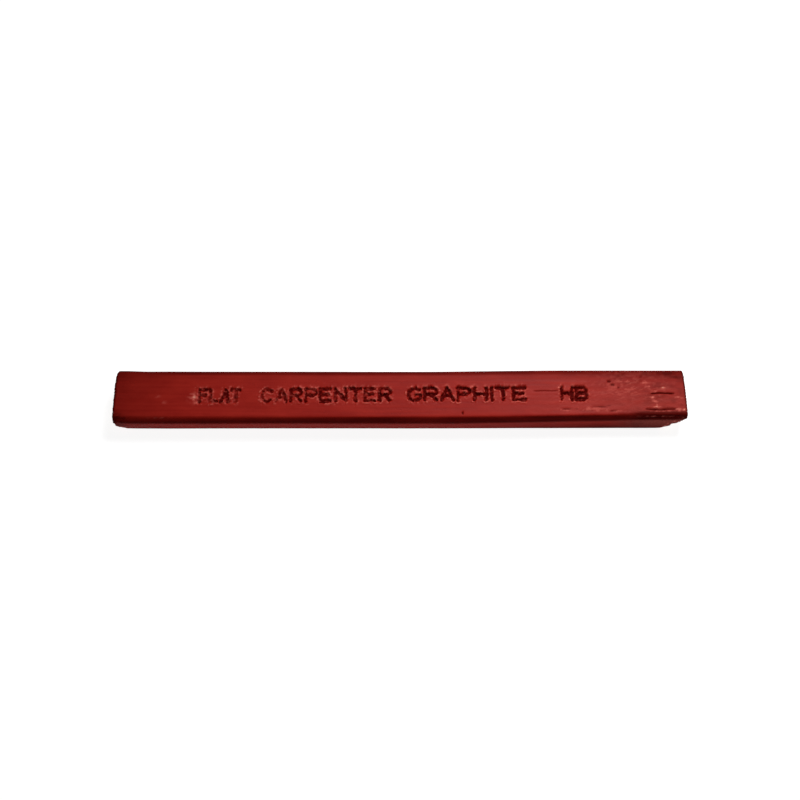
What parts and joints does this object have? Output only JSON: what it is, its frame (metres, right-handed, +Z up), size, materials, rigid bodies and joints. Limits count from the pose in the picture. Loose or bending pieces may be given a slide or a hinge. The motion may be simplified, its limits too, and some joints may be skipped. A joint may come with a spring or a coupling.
{
  "type": "carpenter pencil",
  "caption": "Flat carpenter pencil, unsharpened, with worn ends: glued wooden slats round a flat graphite core, lacquered dark red, for marking timber.",
  "frame": {"origin": "under the middle of the pencil, on the surface that it lies on", "axes": "+X along the pencil, towards the end that the stamped lettering runs to; +Z up, square to the stamped wide face; +Y from the near narrow side to the far one"},
  "size_m": [0.175, 0.017, 0.0084],
  "materials": {
    "graphite": "fired graphite and clay, dull grey with a faint metallic sheen where it was sawn",
    "glue": "dried wood glue, translucent yellowish brown",
    "wood": "bare pale softwood, straight grain along the pencil, sawn ends",
    "primer": "matt pale filler coat",
    "red_lacquer": "dark red lacquer, satin, drawn on lengthwise"
  },
  "bodies": {
    "root": {"graphite_core": "graphite", "core_glue_sleeve": "glue", "upper_slat": "wood", "lower_slat": "wood", "front_glue_film": "glue", "rear_glue_film": "glue", "primer_coat": "primer", "red_lacquer_coat": "red_lacquer"}
  },
  "joints": []
}
